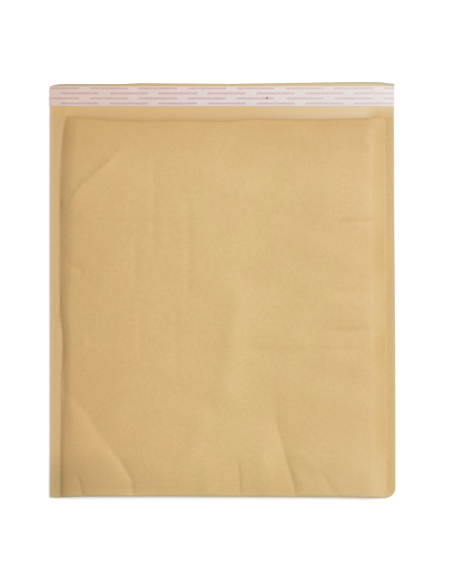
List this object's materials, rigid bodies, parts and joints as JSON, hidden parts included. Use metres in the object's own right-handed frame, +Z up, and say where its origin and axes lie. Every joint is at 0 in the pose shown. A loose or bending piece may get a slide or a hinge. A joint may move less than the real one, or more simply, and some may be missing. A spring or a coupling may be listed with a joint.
{
  "type": "padded envelope",
  "caption": "Empty padded kraft envelope with a bubble film lining, an open flap and a peel-off release strip over its adhesive.",
  "frame": {"origin": "under the middle of the envelope, flap included, on the surface that it lies on", "axes": "+Y towards the free end of the flap, +Z up out of the front wall, +X to the right as seen from above"},
  "size_m": [0.24, 0.289, 0.0126],
  "materials": {
    "kraft_paper": "matt brown kraft paper",
    "bubble_film": "clear polyethylene bubble film",
    "hot_melt_adhesive": "pale tacky hot melt",
    "release_paper": "smooth silicone-coated strip with rows of small pinkish red dashes"
  },
  "bodies": {
    "root": {"kraft_cover": "kraft_paper", "bubble_liner": "bubble_film", "adhesive_strip": "hot_melt_adhesive", "release_strip": "release_paper"}
  },
  "joints": []
}
